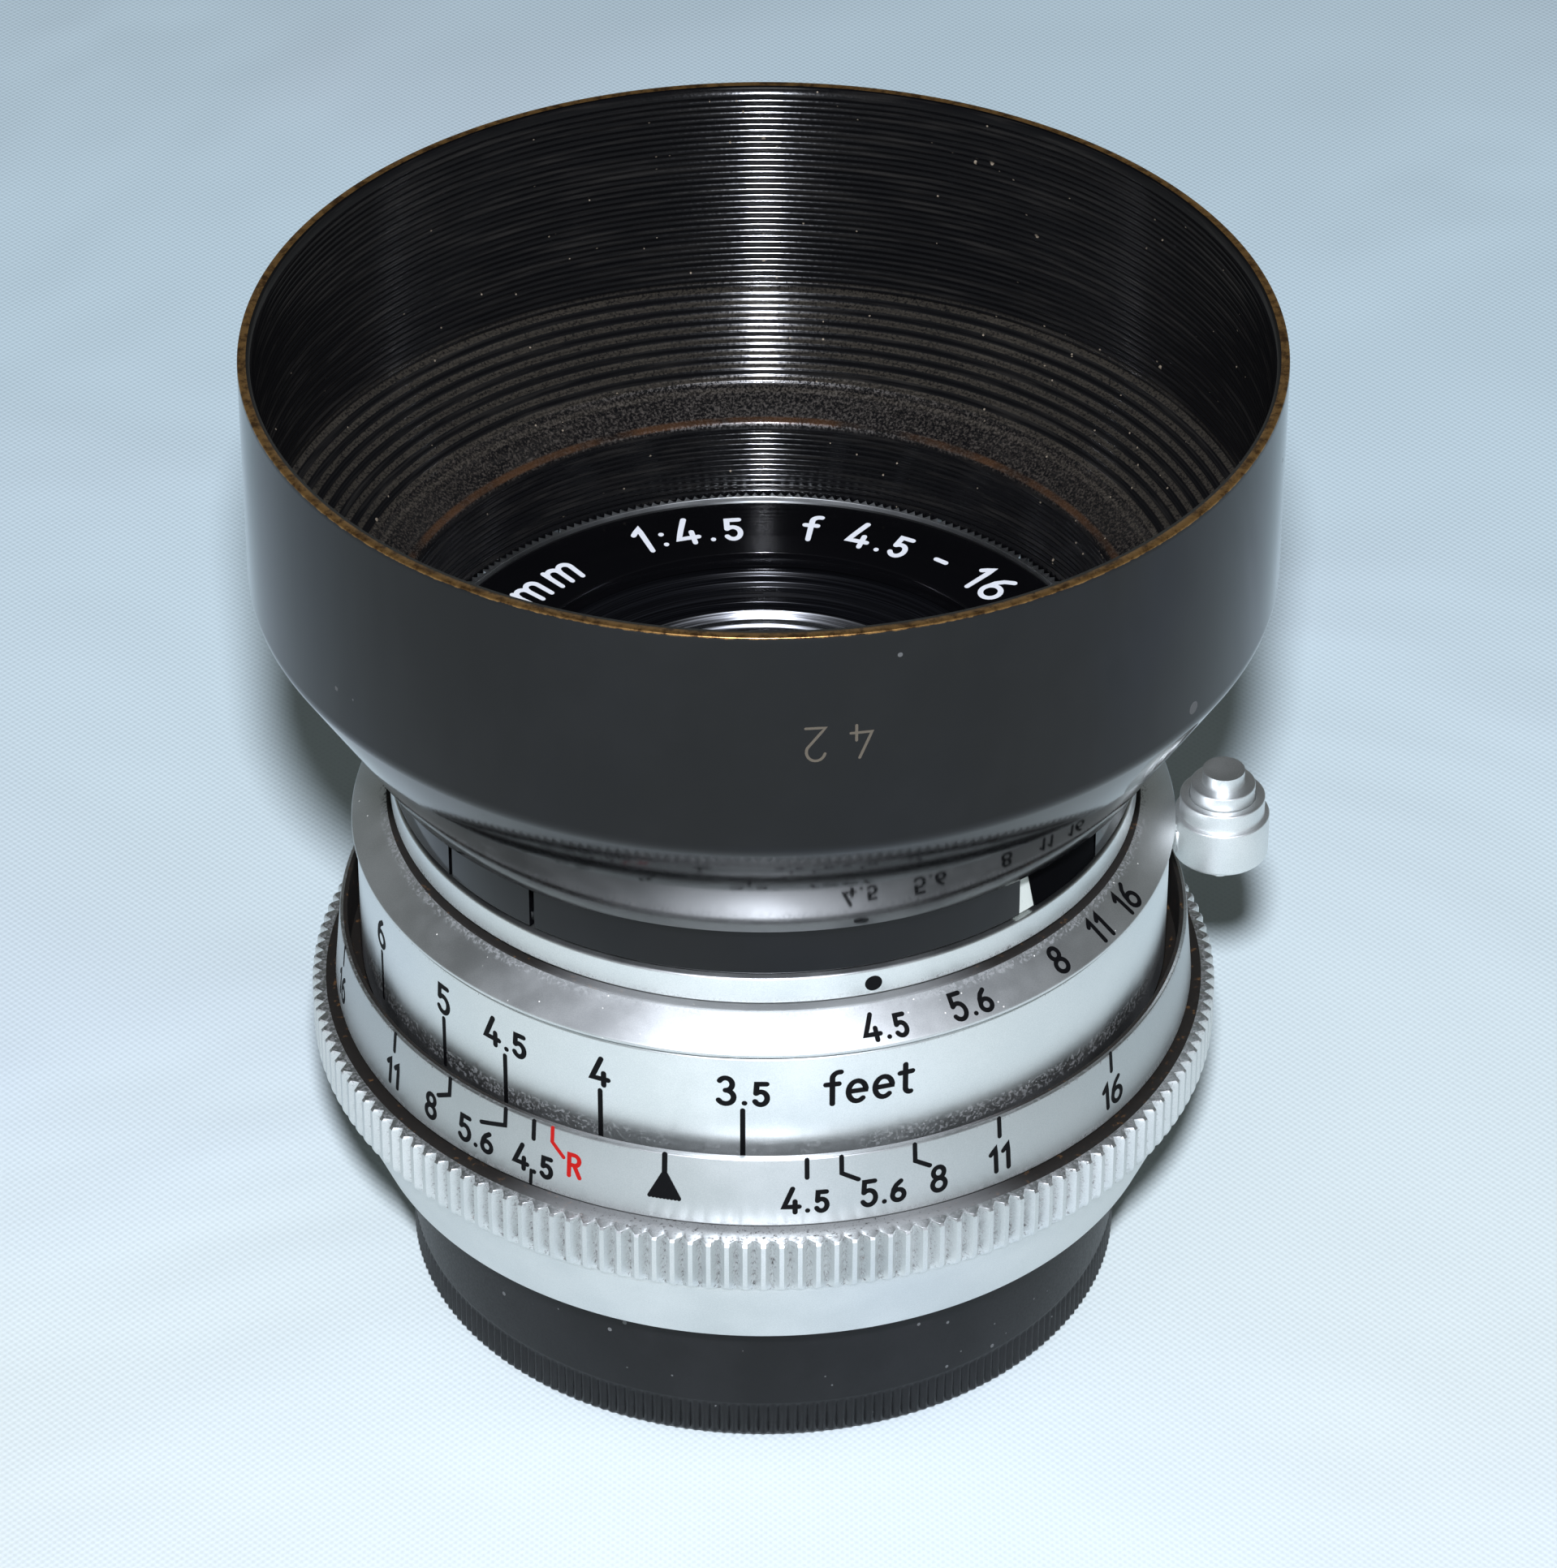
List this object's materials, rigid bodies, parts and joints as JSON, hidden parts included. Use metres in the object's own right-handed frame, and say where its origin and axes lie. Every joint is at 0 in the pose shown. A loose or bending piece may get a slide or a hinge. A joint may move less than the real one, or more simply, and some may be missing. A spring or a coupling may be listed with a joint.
{
  "type": "photographic lens with hood and rear cap",
  "caption": "Chrome screw-mount wide-angle camera lens with focusing knob, infinity lock, iris, black push-on hood and black rear cap.",
  "frame": {"origin": "centre of the rear cap's flat base, on the optical axis", "axes": "+Z along the optical axis toward the subject (the hood's rim); -Y is the side with the focus index; +X is the side with the focusing knob at rest"},
  "size_m": [0.0594, 0.0588, 0.0625],
  "materials": {
    "satin_chrome": "fine satin chrome plate",
    "black_enamel": "glossy black enamel on brass, worn to the metal on the rim",
    "black_gloss": "gloss black with white filled lettering",
    "black_anodised": "semi-matt black anodised",
    "cap_plastic": "matt black moulded plastic",
    "brass": "machined brass, greased",
    "chromed_thread": "machined and plated brass",
    "steel": "machined steel",
    "blade_steel": "blackened spring steel",
    "coated_glass": "polished glass with a bluish single coating"
  },
  "bodies": {
    "cap": {"rear_cap": "cap_plastic"},
    "mount": {"mount_thread": "chromed_thread", "mount_ring": "satin_chrome", "helicoid_outer": "brass", "dof_scale_ring": "satin_chrome", "focus_stop": "steel", "infinity_catch": "satin_chrome", "catch_screw": "steel"},
    "sleeve": {"cam_sleeve": "chromed_thread", "cam_key": "steel"},
    "head": {"helicoid_inner": "brass", "focus_ring": "satin_chrome", "aperture_scale_ring": "satin_chrome", "head_screw_1": "steel", "head_screw_2": "steel", "head_screw_3": "steel", "lens_barrel": "black_anodised", "name_ring": "black_gloss", "front_cell": "black_anodised", "front_element": "coated_glass", "front_retainer": "black_anodised", "middle_element": "coated_glass", "rear_cell": "black_anodised", "rear_element": "coated_glass", "rear_retainer": "black_anodised", "iris_cage": "black_anodised", "lever_boss": "satin_chrome", "lock_spring": "steel"},
    "lock": {"lock_button": "satin_chrome"},
    "aperture": {"aperture_ring": "satin_chrome", "iris_drive_ring": "brass", "drive_pin": "steel"},
    "hood": {"hood_shell": "black_enamel"},
    "blade_1": {"iris_blade_1": "blade_steel"},
    "blade_2": {"iris_blade_2": "blade_steel"},
    "blade_3": {"iris_blade_3": "blade_steel"},
    "blade_4": {"iris_blade_4": "blade_steel"},
    "blade_5": {"iris_blade_5": "blade_steel"},
    "blade_6": {"iris_blade_6": "blade_steel"}
  },
  "joints": [
    {"name": "cap_release", "type": "slide", "parent": "cap", "child": "mount", "axis": [0, 0, 1], "range_m": [0, 0.012]},
    {"name": "sleeve_travel", "type": "slide", "parent": "mount", "child": "sleeve", "axis": [0, 0, 1], "range_m": [-0.00116, 0.0001]},
    {"name": "focus_turn", "type": "hinge", "parent": "sleeve", "child": "head", "pos_m": [0, 0, 0.02], "axis": [0, 0, 1], "range_deg": [-10, 140]},
    {"name": "lock_press", "type": "slide", "parent": "head", "child": "lock", "axis": [0, 0, 1], "range_m": [-0.0009, 0], "stiffness_N_per_m": 300, "springref_m": 0.002, "deforming": ["lock_spring"]},
    {"name": "aperture_turn", "type": "hinge", "parent": "head", "child": "aperture", "pos_m": [0, 0, 0.0335], "axis": [0, 0, 1], "range_deg": [0, 47.1]},
    {"name": "hood_release", "type": "slide", "parent": "aperture", "child": "hood", "axis": [0, 0, 1], "range_m": [0, 0.012]},
    {"name": "blade_1_swing", "type": "hinge", "parent": "head", "child": "blade_1", "pos_m": [0, -0.007, 0.02198], "axis": [0, 0, 1], "range_deg": [0, 25.8]},
    {"name": "blade_2_swing", "type": "hinge", "parent": "head", "child": "blade_2", "pos_m": [0.00606, -0.0035, 0.02227], "axis": [0, 0, 1], "range_deg": [0, 25.8]},
    {"name": "blade_3_swing", "type": "hinge", "parent": "head", "child": "blade_3", "pos_m": [0.00606, 0.0035, 0.02258], "axis": [0, 0, 1], "range_deg": [0, 25.8]},
    {"name": "blade_4_swing", "type": "hinge", "parent": "head", "child": "blade_4", "pos_m": [0, 0.007, 0.02287], "axis": [0, 0, 1], "range_deg": [0, 25.8]},
    {"name": "blade_5_swing", "type": "hinge", "parent": "head", "child": "blade_5", "pos_m": [-0.00606, 0.0035, 0.02318], "axis": [0, 0, 1], "range_deg": [0, 25.8]},
    {"name": "blade_6_swing", "type": "hinge", "parent": "head", "child": "blade_6", "pos_m": [-0.00606, -0.0035, 0.02347], "axis": [0, 0, 1], "range_deg": [0, 25.8]}
  ],
  "couplings": [
    {"joint": "sleeve_travel", "follows": "focus_turn", "m_per_rad": -0.00046951},
    {"joint": "blade_1_swing", "follows": "aperture_turn", "ratio": 0.54352},
    {"joint": "blade_2_swing", "follows": "aperture_turn", "ratio": 0.54352},
    {"joint": "blade_3_swing", "follows": "aperture_turn", "ratio": 0.54352},
    {"joint": "blade_4_swing", "follows": "aperture_turn", "ratio": 0.54352},
    {"joint": "blade_5_swing", "follows": "aperture_turn", "ratio": 0.54352},
    {"joint": "blade_6_swing", "follows": "aperture_turn", "ratio": 0.54352}
  ]
}
